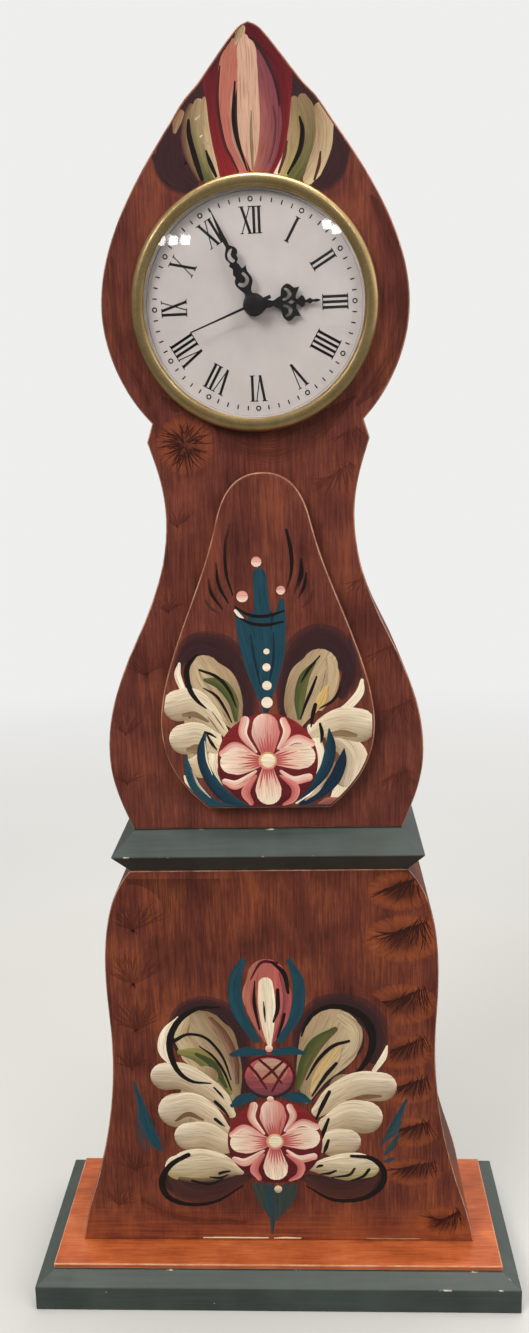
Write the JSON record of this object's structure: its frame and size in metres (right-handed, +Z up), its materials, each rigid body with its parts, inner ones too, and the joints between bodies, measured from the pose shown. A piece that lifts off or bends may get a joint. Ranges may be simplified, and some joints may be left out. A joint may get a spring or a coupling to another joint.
{
  "type": "table clock",
  "caption": "Small painted table clock shaped like a longcase clock, with a pear-shaped waist, flared lower case, stepped plinth and a round battery insert with pierced hands.",
  "frame": {"origin": "middle of the plinth's underside", "axes": "+X to the right of someone facing the dial, +Y from the dial to the back, +Z up"},
  "size_m": [0.158, 0.0664, 0.3894],
  "materials": {
    "green_paint": "grey-green paint, worn at the edges",
    "red_glaze": "red-brown glaze with painted flowers",
    "step_glaze": "warm red-brown glaze",
    "bare_wood": "plain",
    "steel": "plated",
    "brass": "polished",
    "clear_lens": "clear",
    "dial_white": "white lacquer, printed",
    "black_plastic": "moulded",
    "white_plastic": "moulded",
    "black_metal": "black lacquer",
    "rubber": "matt",
    "copper": "enamelled winding",
    "board_green": "lacquered board",
    "cell_jacket": "plain jacket"
  },
  "bodies": {
    "case": {"plinth": "green_paint", "plinth_step_board": "step_glaze", "lower_case": "red_glaze", "waist_moulding": "green_paint", "upper_case": "red_glaze", "door_panel": "red_glaze", "dowel_left": "bare_wood", "dowel_right": "bare_wood", "plinth_screw_left": "steel", "plinth_screw_right": "steel"},
    "insert": {"bezel": "brass", "crystal": "clear_lens", "dial": "dial_white", "drum": "black_plastic", "grip_ring": "rubber", "back_cover": "black_plastic", "rear_plate": "white_plastic", "plate_screw_1": "steel", "plate_screw_2": "steel", "plate_screw_3": "steel", "plate_screw_4": "steel", "stator": "steel", "coil_core": "steel", "coil": "copper", "circuit_board": "board_green", "quartz_can": "steel", "chip": "black_plastic", "battery_tray": "black_plastic", "contact_positive": "steel", "contact_negative": "steel"},
    "battery": {"battery": "cell_jacket"},
    "second_group": {"second_hand": "black_metal", "second_wheel": "white_plastic"},
    "third_wheel": {"third_wheel": "white_plastic"},
    "centre_wheel": {"centre_wheel": "brass"},
    "intermediate_wheel": {"intermediate_wheel": "white_plastic"},
    "rotor": {"rotor": "black_metal"},
    "minute_group": {"minute_hand": "black_metal", "cannon_pinion": "brass"},
    "minute_wheel": {"minute_wheel": "white_plastic"},
    "hour_group": {"hour_hand": "black_metal", "hour_wheel": "white_plastic"},
    "set_group": {"set_arbor": "white_plastic", "set_knob": "black_plastic"}
  },
  "joints": [
    {"name": "insert_pull", "type": "slide", "parent": "case", "child": "insert", "axis": [0, -1, 0], "range_m": [0, 0.03]},
    {"name": "battery_slide", "type": "slide", "parent": "insert", "child": "battery", "axis": [0, 1, 0], "range_m": [0, 0.02]},
    {"name": "second_spin", "type": "hinge", "parent": "insert", "child": "second_group", "pos_m": [0, -0.02, 0.3154], "axis": [0, 1, 0], "continuous": true},
    {"name": "third_spin", "type": "hinge", "parent": "insert", "child": "third_wheel", "pos_m": [0.00694, -0.02, 0.32367], "axis": [0, 1, 0], "continuous": true},
    {"name": "centre_spin", "type": "hinge", "parent": "insert", "child": "centre_wheel", "pos_m": [0, -0.02, 0.3154], "axis": [0, 1, 0], "continuous": true},
    {"name": "intermediate_spin", "type": "hinge", "parent": "insert", "child": "intermediate_wheel", "pos_m": [-0.00853, -0.02, 0.32255], "axis": [0, 1, 0], "continuous": true},
    {"name": "rotor_spin", "type": "hinge", "parent": "insert", "child": "rotor", "pos_m": [-0.00666, -0.02, 0.32951], "axis": [0, 1, 0], "continuous": true},
    {"name": "minute_spin", "type": "hinge", "parent": "insert", "child": "minute_group", "pos_m": [0, -0.02, 0.3154], "axis": [0, 1, 0], "continuous": true},
    {"name": "minute_wheel_spin", "type": "hinge", "parent": "insert", "child": "minute_wheel", "pos_m": [-0.00402, -0.02, 0.30854], "axis": [0, 1, 0], "continuous": true},
    {"name": "hour_spin", "type": "hinge", "parent": "insert", "child": "hour_group", "pos_m": [0, -0.02, 0.3154], "axis": [0, 1, 0], "continuous": true},
    {"name": "set_knob_spin", "type": "hinge", "parent": "insert", "child": "set_group", "pos_m": [-0.01159, -0.02, 0.31229], "axis": [0, 1, 0], "continuous": true}
  ],
  "couplings": [
    {"joint": "third_spin", "follows": "second_spin", "ratio": -0.13333},
    {"joint": "centre_spin", "follows": "second_spin", "ratio": 0.016667},
    {"joint": "intermediate_spin", "follows": "second_spin", "ratio": -6},
    {"joint": "rotor_spin", "follows": "second_spin", "ratio": 30},
    {"joint": "minute_wheel_spin", "follows": "minute_spin", "ratio": -0.33333},
    {"joint": "hour_spin", "follows": "minute_spin", "ratio": 0.083333},
    {"joint": "set_knob_spin", "follows": "minute_spin", "ratio": 0.8}
  ]
}
